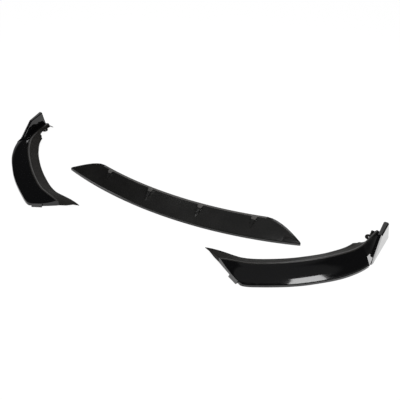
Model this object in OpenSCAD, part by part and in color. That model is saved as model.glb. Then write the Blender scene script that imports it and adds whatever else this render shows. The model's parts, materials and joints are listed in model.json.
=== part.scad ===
// Front splitter lip in three thin-walled mouldings: a centre blade and two winged corner pieces,
// laid out apart with their rims on the floor. Millimetres, +Z up, front towards -Y.
// The origin is under the middle of the centre blade's front rim.

/* [Wall and fixings] */
// Thickness of every moulded wall
wall = 3; // [2.4:0.2:4]
// Radius of the fixing holes
hole_r = 3; // [2:0.25:4]
// Thickness of the stiffening webs at their foot
web_t = 2.4; // [2:0.2:3.6]
// Height of the upright rim along every leading edge
rim_h = 11; // [8:0.5:14]

/* [Centre blade] */
// Length from tip to tip
centre_l = 1000; // [900:10:1100]
// Depth from the rim's foot to the rear edge, at the middle
centre_depth = 82; // [74:1:92]
// Distance that the tips lie behind the middle of the rim
front_bow = 81; // [60:1:100]
// Distance that the shoulders lie behind the middle of the rear edge
rear_bow = 43; // [34:1:50]
// Length of the swept tip beyond each shoulder
tip_l = 147; // [120:1:170]
// Height of the rear edge
centre_h = 46; // [40:1:52]
// Width of the light ledge along the rear edge
ledge_w = 9; // [6:0.5:12]
// Hollow of the sloping face below a straight line
centre_sag = 2.5; // [0:0.5:5]

/* [Strakes] */
// Distance between the inner pair of strakes
strake_inner = 216; // [180:2:250]
// Distance between the outer pair of strakes
strake_outer = 624; // [560:2:660]
// Length of a strake in front of the ledge
strake_l = 46; // [36:1:50]
// Width of a strake at the ledge
strake_w = 22; // [16:1:28]
// Width of a strake at its foot
strake_foot_w = 8; // [5:0.5:12]
// Length of the level tab on top of a strake
strake_tab = 10; // [7:0.5:14]

/* [Screw flange of the centre blade] */
// Depth of the screw flange behind the rear edge
screw_flange_w = 22; // [18:1:26]
// Height of the screw flange's top face
screw_flange_h = 18; // [14:1:22]
// Length of the screw flange
screw_flange_l = 672; // [660:2:690]

/* [Corner section] */
// Width of the gloss blade, square to the crest
blade_w = 71.5; // [64:1:78]
// Width of the mounting flange behind the crest
flange_w = 44; // [40:1:50]
// Height of the crest
crest_h = 39; // [34:1:44]
// Width of the level land on the crest
land_w = 9; // [6:0.5:12]
// Height of the flange's rear edge
flange_h = 15.5; // [13:0.5:18]
// Hollow of the gloss blade below a straight line
blade_sag = 6; // [0:0.5:8]
// Slant of the inner end across the blade, in degrees off square
end_slant = 52.5; // [40:0.5:56]
// Slant of the inner end across the flange, in degrees off square
tip_slant = 54; // [45:1:60]
// Narrowing of the blade at its slanted inner end
end_pinch = 10; // [0:0.5:11]
// Widening of the flange towards its pointed inner tip
tip_flare = 8; // [0:0.5:9]
// Narrowing of the flange towards the fin
flange_taper = 3.5; // [0:0.5:6]
// Drop of the crest at the inner end
crest_drop_inner = 9; // [5:1:12]
// Drop of the crest at the fin
crest_drop_outer = 18; // [12:1:20]

/* [Fin] */
// Thickness of the upright fin
fin_t = 18.5; // [15:0.5:21]
// Height of the fin's rear corner
fin_h = 76; // [66:1:88]
// Height of the fin's front corner
fin_front_h = 70; // [60:1:76]
// Length of the fin along the floor
fin_l = 164; // [150:1:170]
// Length of the fin's top edge
fin_top_l = 69; // [60:1:80]
// Radius of the rounding round the fin's edge
fin_edge_r = 4; // [2:0.5:4.5]
// Distance that the fin's foot swings outwards from front to rear
fin_toe = 10.5; // [6:0.5:12]
// Distance that the fin's rear top corner leans inwards over its foot
fin_cant = 9.5; // [6:0.5:12]

/* [Corner lugs] */
// Radius of the round lug with the fixing hole
lug_r = 13; // [11:0.5:15]
// Radius of the plain ear on the flange
ear_r = 13; // [11:0.5:15]
// Width of the bent foot behind the fin
foot_w = 30; // [22:1:34]
// Width of the sloping skirt along the foot of the inner end wall
skirt_w = 9; // [6:0.5:12]
// Height of the skirt on the wall
skirt_h = 8; // [5:0.5:9]
// Height of the level pad in front of the fin's foot
pad_h = 15.5; // [14:0.5:18]

/* [Layout] */
// Place of the right corner piece
right_at = [0, 80]; // [-200:1:200]
// Place of the left corner piece
left_at = [-94, 43]; // [-200:1:200]
// Turn of both corner pieces as they lie, in degrees
corner_turn = -3.2; // [-6:0.1:0]

/* [Hidden] */
gloss = "#141416";
satin = "#232322";
big_fn = 720;
hole_fn = 48;
round_fn = 32;
rim_draft = 0.8;
rim_round = 2.4;
web_draft = 0.4;
edge_round = 1;
// Shares of the sloping face's width at which its hollow is given a point
blade_steps = [0.1, 0.25, 0.45, 0.65, 0.85];

half_l = centre_l / 2;
shoulder_x = half_l - tip_l;
front_r = (half_l ^ 2 + front_bow ^ 2) / (2 * front_bow);
rear_r = (shoulder_x ^ 2 + rear_bow ^ 2) / (2 * rear_bow);
foot_y = -wall / 2;
rear_y = foot_y + centre_depth;
centre_stations = 24;
centre_webs = [0, 54, strake_inner / 2, 210, strake_outer / 2, 380];
web_chamfer = 5;
inner_gap = 0.1;
ledge_fall = 1.5;
// Share of the tip's length over which the rear edge keeps its heading, and where it then bends
tip_lead = 0.3;
tip_bend = [0.34, 0.86];
strake_steps = 6;
strake_foot_h = 0.6;
strake_draft = 1;
// Place of the row of holes across the screw flange
screw_row = 0.6;

// Places along the corner run from 0 at the inner end to 1 at the fin
corner_stations = 40;
inner_reach = 0.45;
cut_back_from = 0.85;
cut_back_to = 0.905;
narrow_flange_w = 12;
taper_from = 0.62;
fin_taper = 255;
rail_rise_from = 0.84;
rail_rise_to = 0.92;
web_places = [0.17, 0.31, 0.45, 0.59, 0.73];
web_foot = 5;
// Length of crest that one unit of place stands for, at the webs and at the inner end
web_span = 700;
end_span = 500;
inner_end = wall / cos(end_slant) / end_span;
// Stretch over which the inner end's nose is straight in plan and solid behind its rim
nose_to = 0.05;
// Rise of the inner end wall's foot, from the rim to the crest
end_rise = [0, 0, 0, 0, 0, 0, 2, 4, 6, 7, 8, 9];
land_round = 0.6;
flange_steps = [0.35, 0.7];
flange_hollow = 1;
// Plan of the crest, from the inner end to the fin, from the middle of the blades' rear edges
crest_plan = [[299, -197], [391, -178], [484, -125], [566, -61], [638, 10], [694, 95], [722, 220]];
fin_x = 730.5;
fin_front_y = 62;
fin_foot_h = 21;
fin_lean = 12;
lug_at = [698, 178.8];
ear_at = [685.1, 124.1];
lug_drop = 0.4;
foot_x = fin_x - foot_w - wall;
foot_top_y = crest_plan[len(crest_plan) - 1].y;
foot_inset = 8;
foot_back = 7;
foot_drop = 4;
// Stretch of the inner end wall that the skirt takes, from the rim to the crest
skirt_from = 0.03;
skirt_to = 0.43;
skirt_lift = 0.5;
// Plan of the pad in front of the fin's foot
pad_plan = [[742.5, 47], [741, 84], [727, 90], [723, 76]];
pad_foot_h = 4;

// Points on curves
function mix(a, b, f) = a + (b - a) * f;
function bezier(p, f) =
    (1 - f) ^ 3 * p[0] + 3 * (1 - f) ^ 2 * f * p[1] + 3 * (1 - f) * f ^ 2 * p[2] + f ^ 3 * p[3];
function knot(p, i) =
    i < 0 ? 2 * p[0] - p[1] : i >= len(p) ? 2 * p[len(p) - 1] - p[len(p) - 2] : p[i];
function spline(p, f) =
    let (s = f * (len(p) - 1), i = min(floor(s), len(p) - 2), g = s - i)
    let (a = knot(p, i - 1), b = knot(p, i), c = knot(p, i + 1), d = knot(p, i + 2))
    0.5 * (2 * b + (c - a) * g + (2 * a - 5 * b + 4 * c - d) * g ^ 2 + (3 * b - a - 3 * c + d) * g ^ 3);
function heading(p, f) =
    let (step = 0.002, d = spline(p, min(1, f + step)) - spline(p, max(0, f - step))) atan2(d.y, d.x);
function arrow(angle) = [cos(angle), sin(angle)];
function at_height(p, z) = [p.x, p.y, z];
function ramp(f, from, to) = min(1, max(0, (f - from) / (to - from)));
function hollow(v) = 4 * v * (1 - v);

// A closed shell lofted through stations, each a list of outer points and a list of inner points
module loft(stations) {
    m = len(stations[0][0]);
    ring = 2 * m;
    last = (len(stations) - 1) * ring;
    points = [for (s = stations) each concat(s[0], [for (i = [m - 1 : -1 : 0]) s[1][i]])];
    sides = [for (k = [0 : len(stations) - 2], i = [0 : ring - 1])
        let (a = k * ring + i, b = k * ring + (i + 1) % ring) each [[a, b, b + ring], [a, b + ring, a + ring]]];
    cap = [for (i = [0 : m - 2])
        let (a = i, b = i + 1, c = ring - 2 - i, d = ring - 1 - i) each [[a, c, b], [a, d, c]]];
    far_cap = [for (f = cap) [last + f[0], last + f[2], last + f[1]]];
    polyhedron(points = points, faces = concat(sides, cap, far_cap));
}

// Centre blade: one half is worked out for x from 0 to the tip and mirrored by its sign
function front_y(x) = foot_y + front_r - sqrt(front_r ^ 2 - x ^ 2);
function rear_arc_y(x) = rear_y + rear_r - sqrt(rear_r ^ 2 - x ^ 2);
function tip_curve() =
    let (shoulder = [shoulder_x, rear_arc_y(shoulder_x), centre_h])
    let (along = arrow(asin(shoulder_x / rear_r)) * tip_l * tip_lead)
    [shoulder, shoulder + [along.x, along.y, -ledge_fall],
     [half_l - tip_l * tip_bend.x, front_y(half_l) + rear_bow * tip_bend.y, centre_h / 2],
     [half_l - 2 * edge_round, front_y(half_l) + 2 * wall, rim_h + edge_round]];
function rear_edge(x) =
    x <= shoulder_x ? [x, rear_arc_y(x), centre_h] : bezier(tip_curve(), (x - shoulder_x) / tip_l);
function mirrored(points, side) = [for (p = points) [side * p.x, p.y, p.z]];

function centre_outer(x) =
    let (foot = [x, front_y(x), 0], rear = rear_edge(x), depth = rear.y - foot.y)
    let (ledge = min(ledge_w, depth / 4), top = foot + [0, rim_round, rim_h])
    let (front = [mix(rear.x, x, 0.1), rear.y - ledge, rear.z - ledge_fall])
    let (wall_foot = min(screw_flange_h - wall - 2 * edge_round, rear.z - 2 * wall))
    concat(
        [foot, foot + [0, rim_draft, rim_h - rim_round], top],
        [for (v = blade_steps) mix(top, front, v) - [0, 0, hollow(v) * min(centre_sag, depth / 30)]],
        [front, rear - [0, edge_round, 0], rear - [0, 0, edge_round], at_height(rear, wall_foot)]);

function centre_inner(x, web) =
    let (outer = centre_outer(x), n = len(outer), depth = outer[n - 1].y - outer[0].y)
    let (t = min(wall, depth * 0.4), back = outer[n - 1].y - t - (web ? web_chamfer : 0))
    [for (i = [0 : n - 1])
        i == 0 || i == n - 1 ? outer[i] + [0, i == 0 ? t : -t, 0]
        : i == 1 ? at_height(outer[i] + [0, t, 0], web ? 0 : outer[i].z)
        : i == n - 2 ? [outer[i].x, web ? back + web_chamfer / 2 : back, web ? outer[n - 1].z / 2 : outer[i].z - wall]
        : let (y = max(outer[i].y, outer[0].y + t + edge_round + (i - 2) * inner_gap))
          [outer[i].x, min(y, back - (n - 3 - i) * inner_gap), web ? 0 : outer[i].z - wall]];

function centre_station(x, web = false) =
    let (side = x < 0 ? -1 : 1)
    [mirrored(centre_outer(abs(x)), side), mirrored(centre_inner(abs(x), web), side)];

function web_stations(x) =
    let (root = web_t / 2 + web_draft)
    [[x - root, false], [x - web_t / 2, true], [x + web_t / 2, true], [x + root, false]];
function clear_of_webs(x, webs) = len([for (w = webs) if (abs(abs(x) - w) < 2 * web_t) w]) == 0;

module blade_shell() {
    even = [for (i = [-centre_stations : centre_stations]) half_l * i / centre_stations];
    plain = [for (x = even) if (clear_of_webs(x, centre_webs)) [x, false]];
    webs = [for (w = centre_webs, side = w > 0 ? [-1, 1] : [1]) each web_stations(side * w)];
    places = sorted(concat(plain, webs));
    loft([for (p = places) centre_station(p[0], p[1])]);
}

function sorted(list) =
    len(list) < 2 ? list
    : let (pivot = list[floor(len(list) / 2)][0])
      concat(sorted([for (p = list) if (p[0] < pivot) p]),
             [for (p = list) if (p[0] == pivot) p],
             sorted([for (p = list) if (p[0] > pivot) p]));

// Height of the sloping face at a plan point, following the same section as the shell
function face_z(x, y) =
    let (p = centre_outer(abs(x)), v = (y - p[2].y) / (p[8].y - p[2].y))
    mix(p[2].z, p[8].z, v) - hollow(v) * centre_sag;

// A strake: a wedge with a level tab at the ledge, running down to a narrow foot near the rim
module strake(x) {
    back = centre_outer(abs(x))[8].y + 2 * edge_round;
    top_z = centre_h - ledge_fall;
    rows = [for (k = [0 : strake_steps])
        let (d = strake_l * k / strake_steps, y = back - d)
        let (f = max(0, (d - strake_tab) / (strake_l - strake_tab)))
        let (w = mix(strake_w, strake_foot_w, sqrt(f)) / 2, base = face_z(x, y) - wall / 2)
        let (top = mix(top_z, face_z(x, back - strake_l) + strake_foot_h, f), in = w - strake_draft)
        [[[x - w, y, base], [x - in, y, top]], [[x + w, y, base], [x + in, y, top]]]];
    points = [for (r = rows) each [r[0][0], r[0][1], r[1][1], r[1][0]]];
    sides = [for (k = [0 : strake_steps - 1], i = [0 : 3])
        let (a = 4 * k + i, b = 4 * k + (i + 1) % 4) each [[a, b, b + 4], [a, b + 4, a + 4]]];
    e = 4 * strake_steps;
    ends = [[0, 2, 1], [0, 3, 2], [e, e + 1, e + 2], [e, e + 2, e + 3]];
    polyhedron(points = points, faces = concat(sides, ends));
}

// Screw flange behind the rear edge, with four upright holes in line with the strakes
module screw_flange() {
    translate([0, 0, screw_flange_h - wall])
        linear_extrude(wall)
            intersection() {
                translate([-screw_flange_l / 2, rear_y - wall])
                    square([screw_flange_l, rear_bow + screw_flange_w + wall]);
                translate([0, rear_y + rear_r])
                    difference() {
                        circle(r = rear_r + wall / 2, $fn = big_fn);
                        circle(r = rear_r - screw_flange_w, $fn = big_fn);
                    }
            }
}

module centre_blade() {
    color(satin)
        difference() {
            union() {
                blade_shell();
                screw_flange();
                for (x = [strake_inner, strake_outer] / 2, side = [-1, 1]) strake(side * x);
            }
            for (x = [strake_inner, strake_outer] / 2, side = [-1, 1])
                translate([side * x, rear_arc_y(x) + screw_flange_w * screw_row, screw_flange_h - 2 * wall])
                    cylinder(r = hole_r, h = 3 * wall, $fn = hole_fn);
        }
}

// Corner piece, right hand: its section rides along the crest
function swing(f, angle) = atan(tan(angle) * max(0, 1 - f / inner_reach) ^ 2);
function crest_z(f) =
    crest_h - crest_drop_inner * max(0, 1 - 3 * f / inner_reach) ^ 2 - crest_drop_outer * max(0, 2 * f - 1) ^ 2;
function lead_point(f) =
    f < nose_to ? mix(lead_on_sweep(0), lead_on_sweep(nose_to), f / nose_to) : lead_on_sweep(f);
function lead_on_sweep(f) =
    let (c = spline(crest_plan, f), s = swing(f, end_slant), d = arrow(heading(crest_plan, f) - 90 + s))
    let (ease = max(0, 1 - f / inner_reach) ^ 1.2, taper = fin_taper * max(0, f - taper_from) ^ 2)
    let (reach = (blade_w - end_pinch * ease - taper) / cos(s))
    c + d * (d.x > 0 ? min(reach, (fin_x + fin_t * 0.6 - c.x) / d.x) : reach);
function flange_point(f) =
    let (c = spline(crest_plan, f), s = swing(f, tip_slant), d = arrow(heading(crest_plan, f) + 90 + s))
    let (full = flange_w + tip_flare * max(0, 1 - f / inner_reach) - flange_taper * ramp(f, inner_reach, cut_back_from))
    c + d * mix(full, narrow_flange_w, ramp(f, cut_back_from, cut_back_to)) / cos(s);
function front_rail_z(f) = mix(rim_h, fin_foot_h, ramp(f, rail_rise_from, rail_rise_to));

function corner_outer(f) =
    let (c = spline(crest_plan, f), l = lead_point(f), r = flange_point(f), z = crest_z(f))
    let (in = (c - l) / norm(c - l), out = (r - c) / norm(r - c), sag = blade_sag * min(1, norm(c - l) / blade_w))
    let (top = at_height(l + in * rim_round, front_rail_z(f)), front = at_height(c, z - land_round))
    let (back = at_height(c + out * land_w, z - land_round), edge = at_height(r, flange_h))
    concat(
        [at_height(l, 0), at_height(l + in * rim_draft, front_rail_z(f) - rim_round), top],
        [for (v = blade_steps) mix(top, front, v) - [0, 0, hollow(v) * sag]],
        [front, at_height(c + out * land_w / 2, z), back],
        [for (v = flange_steps) mix(back, edge, v) - [0, 0, flange_hollow]],
        [edge]);

function corner_inner(f, web) =
    let (outer = corner_outer(f), l = lead_point(f), c = spline(crest_plan, f), in = (c - l) / norm(c - l) * wall)
    let (solid = f < nose_to / 2 + inner_end ? 5 : f < nose_to + inner_end ? 3 : 0)
    [for (i = [0 : len(outer) - 1])
        i == 0 ? outer[i] + [in.x, in.y, 0]
        : let (p = i <= 2 ? outer[i] + [in.x, in.y, 0] / i : outer[i])
          let (plain = is_undef(web) || i >= len(end_rise))
          at_height(p, i <= solid ? 0 : plain ? outer[i].z - (i == 1 ? 0 : wall) : web == 0 ? end_rise[i] : web)];

// Stations along the corner: [place, foot of a web there or undef]
function corner_places() =
    let (thin = web_t / 2 / web_span, draft = web_draft / web_span, end = inner_end)
    let (even = [for (i = [1 : corner_stations]) i / corner_stations])
    let (plain = [for (f = even) if (len([for (w = web_places) if (abs(f - w) < 3 * thin) w]) == 0) [f, undef]])
    let (webs = [for (w = web_places) each [
        [w - thin - draft, undef], [w - thin, web_foot], [w + thin, web_foot], [w + thin + draft, undef]]])
    sorted(concat([[0, 0], [end, 0], [end + draft, undef]], plain, webs));

module corner_shell() {
    loft([for (p = corner_places()) [corner_outer(p[0]), corner_inner(p[0], p[1])]]);
}

// Fin at the outer end, its outline rounded on both faces, leaning inwards and swung outwards to the rear
module fin() {
    back = fin_front_y + fin_l;
    top_back = back - fin_lean;
    outline = [[fin_front_y, 0], [top_back - fin_top_l, fin_front_h], [top_back, fin_h], [back, 0]];
    toe = fin_toe / fin_l;
    multmatrix([[1, toe, -fin_cant / fin_h, -toe * fin_front_y], [0, 1, 0, 0], [0, 0, 1, 0]])
        hull()
            for (inset = [0, fin_edge_r])
                translate([fin_x + fin_edge_r - inset, 0, 0])
                    rotate([90, 0, 90])
                        linear_extrude(fin_t - 2 * fin_edge_r + 2 * inset)
                            intersection() {
                                offset(delta = -inset * 0.6) polygon(outline);
                                square([back, fin_h]);
                            }
}

// Level pad at the rim in front of the fin's foot
module fin_pad() {
    translate([0, 0, pad_foot_h])
        linear_extrude(pad_h - pad_foot_h)
            polygon(pad_plan);
}

// Lugs along the outer end of the flange: one round with a hole, joined to the foot, and a plain ear
module lugs() {
    translate([0, 0, flange_h - wall - lug_drop])
        linear_extrude(wall) {
            translate([foot_x, lug_at.y]) square([foot_w, foot_top_y - foot_inset - lug_at.y]);
            hull() {
                translate(lug_at) circle(r = lug_r, $fn = round_fn);
                translate(lug_at + [lug_r, -lug_r / 2]) square([lug_r / 3, lug_r]);
            }
            translate(ear_at) circle(r = ear_r, $fn = round_fn);
        }
}

// Bent foot behind the fin, from the flange down to the floor
module bent_foot() {
    top = flange_h + foot_drop;
    y = foot_top_y - foot_inset;
    translate([foot_x, 0, 0])
        rotate([90, 0, 90])
            linear_extrude(foot_w)
                polygon([[y - foot_back, top - wall], [y - foot_back, top], [y + edge_round, top],
                         [y + edge_round + top, 0], [y + edge_round + top - wall * sqrt(2), 0], [y, top - wall]]);
}

// Sloping skirt along the foot of the inner end wall
module end_skirt() {
    lead = lead_point(0);
    along = spline(crest_plan, 0) - lead;
    out = [-along.y, along.x] / norm(along);
    near = lead + along * skirt_from;
    far = lead + along * skirt_to;
    in = out * wall / 4;
    hull()
        for (k = [0, 1])
            translate([0, 0, skirt_lift + k * (skirt_h - 1)])
                linear_extrude(1)
                    polygon([near - in, near + (k == 0 ? out * skirt_w : in), far + (k == 0 ? out * skirt_w : in),
                             far - in]);
}

module corner_piece() {
    difference() {
        resize([0, 0, 0])
            union() {
                corner_shell();
                fin();
                lugs();
                bent_foot();
                end_skirt();
                fin_pad();
            }
        translate([lug_at.x, lug_at.y, flange_h - 3 * wall])
            cylinder(r = hole_r, h = 4 * wall, $fn = hole_fn);
    }
}

module right_corner() {
    color(gloss) translate(right_at) rotate(corner_turn) corner_piece();
}

module left_corner() {
    color(gloss) translate(left_at) rotate(corner_turn) mirror([1, 0, 0]) corner_piece();
}

centre_blade();
left_corner();
right_corner();
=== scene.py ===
# Front splitter lip in three mouldings on a white studio floor.
# Metres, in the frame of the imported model: +Z up, front towards -Y.

import json
import math

import bpy
from mathutils import Matrix, Vector

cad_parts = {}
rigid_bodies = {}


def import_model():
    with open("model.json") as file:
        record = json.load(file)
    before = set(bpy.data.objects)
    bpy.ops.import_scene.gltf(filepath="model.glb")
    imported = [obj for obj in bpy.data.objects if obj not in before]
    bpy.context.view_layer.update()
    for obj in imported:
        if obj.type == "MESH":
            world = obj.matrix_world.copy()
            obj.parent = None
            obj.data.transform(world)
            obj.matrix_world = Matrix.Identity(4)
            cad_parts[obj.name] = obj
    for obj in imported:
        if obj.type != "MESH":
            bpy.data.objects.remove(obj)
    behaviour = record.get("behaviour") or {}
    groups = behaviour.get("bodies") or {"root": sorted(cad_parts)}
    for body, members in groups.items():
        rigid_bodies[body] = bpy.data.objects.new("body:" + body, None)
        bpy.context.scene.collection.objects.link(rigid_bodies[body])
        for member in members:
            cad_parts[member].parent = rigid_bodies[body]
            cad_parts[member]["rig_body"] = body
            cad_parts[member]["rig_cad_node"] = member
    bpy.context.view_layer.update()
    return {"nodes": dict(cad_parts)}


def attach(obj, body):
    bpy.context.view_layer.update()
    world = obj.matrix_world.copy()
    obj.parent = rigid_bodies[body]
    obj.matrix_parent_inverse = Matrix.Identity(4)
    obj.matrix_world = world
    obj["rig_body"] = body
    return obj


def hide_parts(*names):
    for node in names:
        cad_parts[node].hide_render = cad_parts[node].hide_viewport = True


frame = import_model()
print("frame loaded:", ", ".join(sorted(frame["nodes"])))


# Camera

shot = {
    "target": (0.068, 0.147, 0.0),
    "azimuth": 26.82,  # degrees round from the front, towards +X
    "elevation": 39.64,
    "distance": 2.167,
    "lens": 50.0,
    "sensor": 36.0,
}


def placeRound(target, azimuth, elevation, distance):
    a = math.radians(azimuth)
    e = math.radians(elevation)
    back = Vector((math.sin(a) * math.cos(e), -math.cos(a) * math.cos(e), math.sin(e)))
    return Vector(target) + back * distance


def aimAt(obj, target):
    obj.rotation_euler = (Vector(target) - obj.location).to_track_quat("-Z", "Y").to_euler()


def addCamera():
    data = bpy.data.cameras.new("shotCamera")
    data.lens = shot["lens"]
    data.sensor_width = shot["sensor"]
    camera = bpy.data.objects.new("shotCamera", data)
    bpy.context.scene.collection.objects.link(camera)
    camera.location = placeRound(shot["target"], shot["azimuth"], shot["elevation"], shot["distance"])
    aimAt(camera, shot["target"])
    bpy.context.scene.camera = camera


# Node helpers

def addNode(tree, kind, x, y, **settings):
    node = tree.nodes.new(kind)
    node.location = (x, y)
    for name, value in settings.items():
        setattr(node, name, value)
    return node


def addMath(tree, operation, x, y, first, second=None):
    node = addNode(tree, "ShaderNodeMath", x, y, operation=operation)
    for socket, value in zip(node.inputs, (first, second)):
        if value is None:
            continue
        if isinstance(value, bpy.types.NodeSocket):
            tree.links.new(value, socket)
        else:
            socket.default_value = value
    return node.outputs[0]


def addRange(tree, x, y, value, fromMin, fromMax, toMin, toMax, smooth=False):
    node = addNode(tree, "ShaderNodeMapRange", x, y)
    node.interpolation_type = "SMOOTHSTEP" if smooth else "LINEAR"
    tree.links.new(value, node.inputs["Value"])
    for name, number in zip(("From Min", "From Max", "To Min", "To Max"), (fromMin, fromMax, toMin, toMax)):
        node.inputs[name].default_value = number
    return node.outputs["Result"]


def addNoise(tree, x, y, coordinates, scale, detail, roughness=0.5):
    node = addNode(tree, "ShaderNodeTexNoise", x, y)
    node.inputs["Scale"].default_value = scale
    node.inputs["Detail"].default_value = detail
    node.inputs["Roughness"].default_value = roughness
    tree.links.new(coordinates, node.inputs["Vector"])
    return node.outputs["Fac"]


def addRays(tree, x, y):
    path = addNode(tree, "ShaderNodeLightPath", x, y)
    glossy = addMath(tree, "MAXIMUM", x + 200, y - 80, path.outputs["Is Glossy Ray"],
                     path.outputs["Is Transmission Ray"])
    return path, glossy


# Studio: a white floor, a plain sky and soft lamps

studio = {
    "floorRadius": 9.0,
    "floorSides": 96,
    "floorDrop": 0.0004,  # the floor lies just under the rims
    "floorWhite": (0.9, 0.9, 0.9, 1.0),
    "floorInGloss": (1.05, 2.2),  # the floor as the surfaces mirror it, at the left and at the right
    "floorGlossFrom": (0.2, 0.9),  # the stretch in x over which it grows brighter
    "floorSeen": 1.05,
    "shadowShare": 0.1,  # share of the floor's look that takes the shadow
    "skyFill": 0.55,  # strength of the sky for the matte light
    "wallGloss": 1.2,  # white wall behind the set, as the surfaces mirror it
    "wallTop": (0.76, 0.84),  # sine of the elevation where the wall fades into the dark room
    "wallAzimuth": -27.0,  # degrees from +Y towards +X, the middle of the wall
    "wallEdge": (0.86, 0.92),  # cosine of the angle off the middle where the wall fades in
    "roomGloss": 0.02,  # the dark room beside the wall and just above it
    "ceilingGloss": 0.24,
    "ceilingFrom": (0.86, 0.91),  # sine of the elevation where the ceiling fades in
    "levelLeast": 0.001,  # keeps the division by the cosine of the elevation off zero
}
softBox = {
    "azimuth": 5.0,  # degrees from +Y towards +X, from the right blade
    "elevation": 63.5,
    "over": (0.58, -0.085, 0.015),
    "distance": 1.8,
    "size": (0.29, 0.57),
    "slant": 38.0,  # degrees
    "radiance": 11.0,
}
overhead = {
    "place": (0.2, -0.2, 2.6),
    "size": (2.6, 2.0),
    "radiance": 1.3,
}
# Smaller lamps round the set, each aimed at the edge that it brings out: place, target, size, radiance
edgeLamps = {
    "rightSide": ((2.33, -0.41, 1.13), (0.75, 0.16, 0.04), (0.6, 0.6), 11.0),
    "leftSide": ((-2.5, -1.44, 0.85), (-0.2, 0.0, 0.0), (1.6, 1.1), 3.0),
    "finLamp": ((-0.44, -0.476, 0.962), (-0.822, 0.184, 0.035), (0.25, 0.25), 7.0),
    "frontLamp": ((-0.57, -1.28, 0.80), (-0.55, -0.13, 0.0), (0.5, 0.3), 1.8),
}


def addFloor():
    bpy.ops.mesh.primitive_circle_add(vertices=studio["floorSides"], radius=studio["floorRadius"],
                                      fill_type="NGON", location=(0, 0, -studio["floorDrop"]))
    floor = bpy.context.object
    floor.name = "studioFloor"
    material = bpy.data.materials.new("studioFloorWhite")
    material.use_nodes = True
    tree = material.node_tree
    tree.nodes.clear()
    path, glossy = addRays(tree, -900, 300)
    cameraOrGlossy = addMath(tree, "MAXIMUM", -400, 300, path.outputs["Is Camera Ray"], glossy)
    diffuse = addNode(tree, "ShaderNodeBsdfDiffuse", -400, 0)
    diffuse.inputs["Color"].default_value = studio["floorWhite"]
    place = addNode(tree, "ShaderNodeTexCoord", -1300, -200).outputs["Object"]
    parts = addNode(tree, "ShaderNodeSeparateXYZ", -1100, -200)
    tree.links.new(place, parts.inputs[0])
    mirrored = addRange(tree, -900, -200, parts.outputs["X"],
                        *studio["floorGlossFrom"], *studio["floorInGloss"])
    strength = addNode(tree, "ShaderNodeMix", -650, -200)
    tree.links.new(glossy, strength.inputs["Factor"])
    strength.inputs["A"].default_value = studio["floorSeen"]
    tree.links.new(mirrored, strength.inputs["B"])
    glow = addNode(tree, "ShaderNodeEmission", -400, -150)
    tree.links.new(strength.outputs["Result"], glow.inputs["Strength"])
    share = addMath(tree, "MULTIPLY", -200, 300, cameraOrGlossy, 1 - studio["shadowShare"])
    blend = addNode(tree, "ShaderNodeMixShader", 0, 0)
    tree.links.new(share, blend.inputs["Fac"])
    tree.links.new(diffuse.outputs[0], blend.inputs[1])
    tree.links.new(glow.outputs[0], blend.inputs[2])
    output = addNode(tree, "ShaderNodeOutputMaterial", 200, 0)
    tree.links.new(blend.outputs[0], output.inputs["Surface"])
    floor.data.materials.append(material)


def addSky():
    world = bpy.data.worlds.new("studioSky")
    bpy.context.scene.world = world
    world.use_nodes = True
    tree = world.node_tree
    tree.nodes.clear()
    direction = addNode(tree, "ShaderNodeTexCoord", -1400, 0).outputs["Generated"]
    parts = addNode(tree, "ShaderNodeSeparateXYZ", -1200, 0)
    tree.links.new(direction, parts.inputs[0])
    low = addRange(tree, -900, 200, parts.outputs["Z"], *studio["wallTop"], 1.0, 0.0, smooth=True)
    middle = math.radians(studio["wallAzimuth"])
    acrossX = addMath(tree, "MULTIPLY", -1000, -50, parts.outputs["X"], math.sin(middle))
    acrossY = addMath(tree, "MULTIPLY", -1000, -200, parts.outputs["Y"], math.cos(middle))
    ahead = addMath(tree, "ADD", -800, -100, acrossX, acrossY)
    squared = addMath(tree, "MULTIPLY", -1000, -350, parts.outputs["Z"], parts.outputs["Z"])
    rest = addMath(tree, "SUBTRACT", -900, -350, 1.0, squared)
    cosine = addMath(tree, "SQRT", -800, -350, rest)
    level = addMath(tree, "MAXIMUM", -700, -350, cosine, studio["levelLeast"])
    facing = addMath(tree, "DIVIDE", -600, -150, ahead, level)
    beside = addRange(tree, -450, -150, facing, *studio["wallEdge"], 0.0, 1.0, smooth=True)
    wall = addMath(tree, "MULTIPLY", -250, 50, low, beside)
    ceiling = addRange(tree, -450, 250, parts.outputs["Z"], *studio["ceilingFrom"],
                       studio["roomGloss"], studio["ceilingGloss"], smooth=True)
    white = addMath(tree, "MULTIPLY", -100, 50, wall, studio["wallGloss"])
    gloss = addMath(tree, "MAXIMUM", 0, 150, white, ceiling)
    path, glossy = addRays(tree, -600, 600)
    plain = addRange(tree, -200, 500, path.outputs["Is Camera Ray"], 0.0, 1.0, studio["skyFill"], 1.0)
    mixed = addNode(tree, "ShaderNodeMix", 150, 300)
    tree.links.new(glossy, mixed.inputs["Factor"])
    tree.links.new(plain, mixed.inputs["A"])
    tree.links.new(gloss, mixed.inputs["B"])
    background = addNode(tree, "ShaderNodeBackground", 350, 200)
    tree.links.new(mixed.outputs["Result"], background.inputs["Strength"])
    output = addNode(tree, "ShaderNodeOutputWorld", 550, 200)
    tree.links.new(background.outputs[0], output.inputs["Surface"])


def addLamp(name, place, target, size, radiance, mirrored=True, slant=0.0):
    data = bpy.data.lights.new(name, "AREA")
    data.shape = "RECTANGLE"
    data.size, data.size_y = size
    data.energy = radiance * math.pi * size[0] * size[1]
    lamp = bpy.data.objects.new(name, data)
    bpy.context.scene.collection.objects.link(lamp)
    lamp.location = place
    aimAt(lamp, target)
    lamp.rotation_euler.rotate_axis("Z", math.radians(slant))
    lamp.visible_camera = False
    lamp.visible_glossy = mirrored


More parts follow.
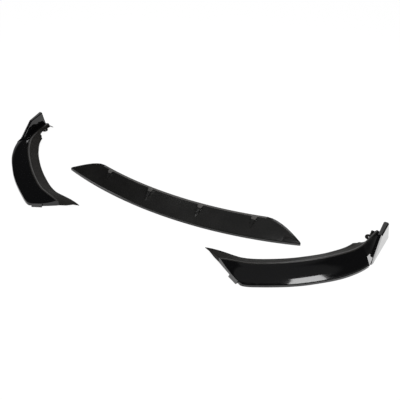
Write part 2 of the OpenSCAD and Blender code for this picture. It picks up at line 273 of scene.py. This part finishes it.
def addLamps():
    place = placeRound(softBox["over"], 180 - softBox["azimuth"], softBox["elevation"], softBox["distance"])
    addLamp("softBox", place, softBox["over"], softBox["size"], softBox["radiance"], slant=softBox["slant"])
    addLamp("overhead", overhead["place"], shot["target"], overhead["size"], overhead["radiance"],
            mirrored=False)
    for name, (lampPlace, target, size, radiance) in edgeLamps.items():
        addLamp(name, lampPlace, target, size, radiance)


# Finishes

noiseSpread = (0.3, 0.7)  # the part of a noise's values that a finish is stretched over
flowSpread = (0.35, 0.65)
glossFinish = {
    "colour": (0.0035, 0.0035, 0.0038, 1.0),
    "ior": 1.5,
    "roughness": (0.05, 0.09),
    "rippleScale": 130.0,  # slow waves of the lacquer, per metre
    "rippleDepth": 0.00003,
    "hazeScale": 900.0,
}
matteFinish = {
    "dark": (0.0085, 0.0078, 0.007, 1.0),
    "light": (0.014, 0.0128, 0.0116, 1.0),
    "specular": 0.1,
    "roughness": (0.55, 0.7),
    "grainScale": 1100.0,
    "grainDepth": 0.00012,
    "flowScale": 26.0,
}
landFinish = {
    "dark": (0.0105, 0.0096, 0.0088, 1.0),
    "light": (0.016, 0.0147, 0.0135, 1.0),
    "specular": 0.4,
    "roughness": (0.26, 0.34),
    "grainScale": 1300.0,
    "grainDepth": 0.00006,
    "flowScale": 26.0,
}
# Painted reflection: the ledge and the strakes' tabs are the same satin plastic, given a much lighter colour
# that stands in for the white wall mirrored in them
ledgePaintedSheenFinish = {
    "dark": (0.064, 0.062, 0.059, 1.0),
    "light": (0.078, 0.075, 0.072, 1.0),
    "specular": 0.5,
    "roughness": (0.26, 0.34),
    "grainScale": 1300.0,
    "grainDepth": 0.00005,
    "flowScale": 18.0,
}
satinFinish = {
    "dark": (0.007, 0.0069, 0.0066, 1.0),
    "light": (0.010, 0.0098, 0.0094, 1.0),
    "specular": 0.5,
    "roughness": (0.17, 0.24),
    "grainScale": 1500.0,
    "grainDepth": 0.00006,
    "flowScale": 18.0,
}
# Painted shade: the strakes' steep sides are the same satin plastic, given a darker colour that stands in
# for the shade along them
strakeSidePaintedShadeFinish = {
    "dark": (0.0025, 0.0024, 0.0023, 1.0),
    "light": (0.004, 0.0039, 0.0037, 1.0),
    "specular": 0.06,
    "roughness": (0.5, 0.65),
    "grainScale": 1500.0,
    "grainDepth": 0.00004,
    "flowScale": 18.0,
}


def startMaterial(name):
    material = bpy.data.materials.new(name)
    material.use_nodes = True
    tree = material.node_tree
    shader = tree.nodes["Principled BSDF"]
    place = addNode(tree, "ShaderNodeTexCoord", -1300, 0).outputs["Object"]
    return material, tree, shader, place


def addBump(tree, x, y, height, depth):
    bump = addNode(tree, "ShaderNodeBump", x, y)
    bump.inputs["Strength"].default_value = 1.0
    bump.inputs["Distance"].default_value = depth
    tree.links.new(height, bump.inputs["Height"])
    return bump.outputs["Normal"]


def makeGloss():
    material, tree, shader, place = startMaterial("glossBlack")
    shader.inputs["Base Color"].default_value = glossFinish["colour"]
    shader.inputs["IOR"].default_value = glossFinish["ior"]
    haze = addNoise(tree, -900, 100, place, glossFinish["hazeScale"], 3.0)
    rough = addRange(tree, -500, 100, haze, *noiseSpread, *glossFinish["roughness"])
    tree.links.new(rough, shader.inputs["Roughness"])
    ripple = addNoise(tree, -900, -200, place, glossFinish["rippleScale"], 1.0)
    tree.links.new(addBump(tree, -400, -250, ripple, glossFinish["rippleDepth"]), shader.inputs["Normal"])
    return material


def makeGrained(name, finish):
    material, tree, shader, place = startMaterial(name)
    shader.inputs["Specular IOR Level"].default_value = finish["specular"]
    flow = addNoise(tree, -900, 400, place, finish["flowScale"], 4.0, 0.6)
    tone = addNode(tree, "ShaderNodeMix", -400, 400, data_type="RGBA")
    tree.links.new(addRange(tree, -650, 400, flow, *flowSpread, 0.0, 1.0), tone.inputs["Factor"])
    tone.inputs["A"].default_value = finish["dark"]
    tone.inputs["B"].default_value = finish["light"]
    tree.links.new(tone.outputs["Result"], shader.inputs["Base Color"])
    grain = addNoise(tree, -900, 0, place, finish["grainScale"], 3.0, 0.6)
    rough = addRange(tree, -500, 100, grain, *noiseSpread, *finish["roughness"])
    tree.links.new(rough, shader.inputs["Roughness"])
    tree.links.new(addBump(tree, -400, -250, grain, finish["grainDepth"]), shader.inputs["Normal"])
    return material


# Mouldings

moulding = {
    "mergeWithin": 0.00002,
    "quadAngle": 14.0,  # degrees, as the two below
    "quadShape": 100.0,
    "sharpAngle": 18.0,
}
# Where each material stands in the lists that makeCentre and makeCorner are given
satinSlot, ledgeSheenSlot, tipSlot, strakeShadeSlot = range(4)
glossSlot, matteSlot, landSlot = range(3)
centre = {
    "ledgeAbove": 0.0415,
    "ledgeLevel": 0.9,  # cosine of the steepest slope that counts as the ledge
    "ledgeReach": 0.36,  # the ledge gets the painted sheen as far as the shoulders
    "tipFrom": 0.445,  # the tips are duller from here outwards, and along their rear edge from the shoulders
    "tipLine": ((0.36, 0.112), (0.49, 0.082)),  # x and y of a line in front of the tips' rear edge
    "tipLevel": 0.93,  # cosine of the steepest slope of the duller faces
    "tipSpecular": 0.15,
    "strakeSidePaintedShade": 0.6,  # sine of the least slope of a strake's side
}
corner = {
    # Plan of the crest from the inner end to the fin, between the gloss blade and the matte land
    "crest": [(0.299, -0.197), (0.391, -0.178), (0.484, -0.125), (0.566, -0.061), (0.638, 0.010),
              (0.694, 0.095), (0.722, 0.220)],
    "crestSteps": 12,
    "finX": 0.7305,
    "turn": -3.2,  # degrees
    "rightAt": (0.0, 0.080),
    "leftAt": (-0.094, 0.043),
    "glossReach": 0.0004,  # the gloss ends this far behind the crest's front edge
    "landReach": 0.0092,  # and the smooth land this far
    "padTop": 0.0155,
    "padNear": 0.0001,  # how near to its plane a point of the pad's top lies
    "padPlan": (0.722, 0.7435, 0.046, 0.091),  # x and y within which the pad lies
    "padSlope": (-0.008, 0.232),  # rise of the pad's top per unit of x and of y
    "padPivot": (0.7341, 0.0708),  # the point that keeps its height
    "padWithin": 0.0003,  # how near to the tilted plane the middle of a face of the top lies
    "padLevel": 0.93,  # cosine of the steepest slope that counts as the pad's top
    "skirtTop": 0.0085,
    "skirtNear": 0.00004,
    "skirtMargin": 0.004,
    "skirtFrom": (0.3872, 0.3508),  # x of the skirt's ends, at the rim and towards the crest
    "skirtRaised": (0.010, 0.0125),  # height of its upper edge at the two
    # The fin leans inwards and swings outwards to the rear; its inner face is set upright
    "finFront": 0.062,
    "finLean": 0.125,  # lean per unit of height
    "finToe": 0.064,  # swing per unit of length
    "finInner": (0.7302, 0.7348),  # x of the inner face and of its edge's rounding, before lean and swing
}


def onlySelect(obj):
    bpy.ops.object.select_all(action="DESELECT")
    obj.select_set(True)
    bpy.context.view_layer.objects.active = obj


def copyNode(node, name):
    piece = frame["nodes"][node].copy()
    piece.data = frame["nodes"][node].data.copy()
    piece.name = name
    piece.data.name = name
    piece.parent = None
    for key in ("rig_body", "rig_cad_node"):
        del piece[key]
    bpy.context.scene.collection.objects.link(piece)
    piece.data.materials.clear()
    return piece


def keepFlat(mesh, isFlat):
    keys = {key for face in mesh.polygons if isFlat(face) for key in face.edge_keys}
    for edge in mesh.edges:
        if edge.key in keys:
            edge.use_edge_sharp = True
    print(mesh.name, "edges kept sharp round its flat faces:", len(keys))


def smoothMoulding(piece, isFlat=None):
    onlySelect(piece)
    bpy.ops.object.mode_set(mode="EDIT")
    bpy.ops.mesh.select_mode(type="VERT")
    bpy.ops.mesh.select_all(action="SELECT")
    bpy.ops.mesh.remove_doubles(threshold=moulding["mergeWithin"])
    bpy.ops.mesh.tris_convert_to_quads(face_threshold=math.radians(moulding["quadAngle"]),
                                       shape_threshold=math.radians(moulding["quadShape"]))
    bpy.ops.object.mode_set(mode="OBJECT")
    bpy.ops.object.shade_smooth_by_angle(angle=math.radians(moulding["sharpAngle"]))
    if isFlat:
        keepFlat(piece.data, isFlat)
    weighted = piece.modifiers.new("weighted", "WEIGHTED_NORMAL")
    weighted.keep_sharp = True
    bpy.ops.object.modifier_apply(modifier=weighted.name)


def splinePoint(points, i, g):
    def knot(k):
        if k < 0:
            return points[0] * 2 - points[1]
        if k >= len(points):
            return points[-1] * 2 - points[-2]
        return points[k]
    a, b, c, d = (knot(k) for k in (i - 1, i, i + 1, i + 2))
    square = a * 2 - b * 5 + c * 4 - d
    cube = b * 3 - a - c * 3 + d
    return (b * 2 + (c - a) * g + square * g ** 2 + cube * g ** 3) / 2


def crestLine():
    points = [Vector(p) for p in corner["crest"]]
    steps = corner["crestSteps"]
    line = [splinePoint(points, i, k / steps) for i in range(len(points) - 1) for k in range(steps)]
    return line + [points[-1]]


def behindCrest(place, line):
    near = min(range(len(line)), key=lambda i: (line[i] - place).length_squared)
    ahead = line[min(near + 1, len(line) - 1)] - line[max(near - 1, 0)]
    offset = place - line[near]
    return (ahead.x * offset.y - ahead.y * offset.x) / ahead.length


def toLocal(place, side, at):
    turn = math.radians(-corner["turn"])
    x = place.x - at[0]
    y = place.y - at[1]
    across = x * math.cos(turn) - y * math.sin(turn)
    along = x * math.sin(turn) + y * math.cos(turn)
    return Vector((across * side, along))


def onPad(local):
    left, right, front, back = corner["padPlan"]
    return left < local.x < right and front < local.y < back


def padRise(local):
    return (local - Vector(corner["padPivot"])).dot(Vector(corner["padSlope"]))


def trimCorner(piece, side, at):
    rimEnd, crestEnd = corner["skirtFrom"]
    low, high = corner["skirtRaised"]
    margin = corner["skirtMargin"]
    innerFace, innerEdge = corner["finInner"]
    tilted = 0
    raised = 0
    for vertex in piece.data.vertices:
        local = toLocal(vertex.co, side, at)
        if abs(vertex.co.z - corner["padTop"]) < corner["padNear"] and onPad(local):
            vertex.co.z += padRise(local)
            tilted += 1
        besideSkirt = crestEnd - margin < local.x < rimEnd + margin
        if abs(vertex.co.z - corner["skirtTop"]) < corner["skirtNear"] and besideSkirt:
            share = min(1, max(0, (rimEnd - local.x) / (rimEnd - crestEnd)))
            vertex.co.z = low + (high - low) * share
            raised += 1
        swing = corner["finToe"] * (local.y - corner["finFront"])
        upright = local.x - swing + corner["finLean"] * vertex.co.z
        if innerFace < upright < innerEdge and local.y > corner["finFront"]:
            shift = Vector(((upright - local.x) * side, 0))
            shift.rotate(Matrix.Rotation(math.radians(corner["turn"]), 2))
            vertex.co.x += shift.x
            vertex.co.y += shift.y
    print(piece.name, "pad tilted,", tilted, "points, skirt raised,", raised, "points")


def paintCorner(piece, side, at):
    line = crestLine()
    for face in piece.data.polygons:
        local = toLocal(face.center, side, at)
        behind = behindCrest(local, line)
        if local.x > corner["finX"] or behind < corner["glossReach"]:
            face.material_index = glossSlot
        else:
            face.material_index = matteSlot if behind > corner["landReach"] else landSlot


def makeCorner(node, name, side, at, materials):
    piece = copyNode(node, name)
    trimCorner(piece, side, at)

    def isPadTop(face):
        local = toLocal(face.center, side, at)
        height = face.center.z - corner["padTop"] - padRise(local)
        return onPad(local) and abs(height) < corner["padWithin"] and face.normal.z > corner["padLevel"]

    smoothMoulding(piece, isPadTop)
    for material in materials:
        piece.data.materials.append(material)
    paintCorner(piece, side, at)
    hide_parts(node)
    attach(piece, "root")
    print(name, "made,", len(piece.data.polygons), "faces")


def rearOfTip(x):
    start, end = centre["tipLine"]
    share = (x - start[0]) / (end[0] - start[0])
    return start[1] + (end[1] - start[1]) * share


def centreSlot(face):
    out = abs(face.center.x)
    # steep strake sides take the painted shade
    if abs(face.normal.x) > centre["strakeSidePaintedShade"]:
        return strakeShadeSlot
    if out > centre["ledgeReach"]:
        dull = out > centre["tipFrom"] or face.center.y > rearOfTip(out)
        return tipSlot if dull and face.normal.z > centre["tipLevel"] else satinSlot
    # level faces on top of the ledge take the painted reflection
    onLedge = face.center.z > centre["ledgeAbove"] and face.normal.z > centre["ledgeLevel"]
    return ledgeSheenSlot if onLedge else satinSlot


def makeCentre(materials):
    piece = copyNode("centre_blade", "centreBlade")
    smoothMoulding(piece)
    for material in materials:
        piece.data.materials.append(material)
    for face in piece.data.polygons:
        face.material_index = centreSlot(face)
    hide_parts("centre_blade")
    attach(piece, "root")
    print("centreBlade made,", len(piece.data.polygons), "faces")


addCamera()
addFloor()
addSky()
addLamps()
bpy.context.scene.view_settings.view_transform = "Standard"
print("studio ready")

gloss = makeGloss()
matte = makeGrained("mattePlastic", matteFinish)
land = makeGrained("smoothLand", landFinish)
satin = makeGrained("satinBlack", satinFinish)
# the ledge's painted reflection
ledge = makeGrained("ledgePaintedSheen", ledgePaintedSheenFinish)
tip = makeGrained("tipSatin", {**satinFinish, "specular": centre["tipSpecular"]})
# the strake sides' painted shade
strakeSidePaintedShade = makeGrained("strakeSidePaintedShade", strakeSidePaintedShadeFinish)
makeCentre([satin, ledge, tip, strakeSidePaintedShade])
makeCorner("right_corner", "rightCorner", 1, corner["rightAt"], [gloss, matte, land])
makeCorner("left_corner", "leftCorner", -1, corner["leftAt"], [gloss, matte, land])
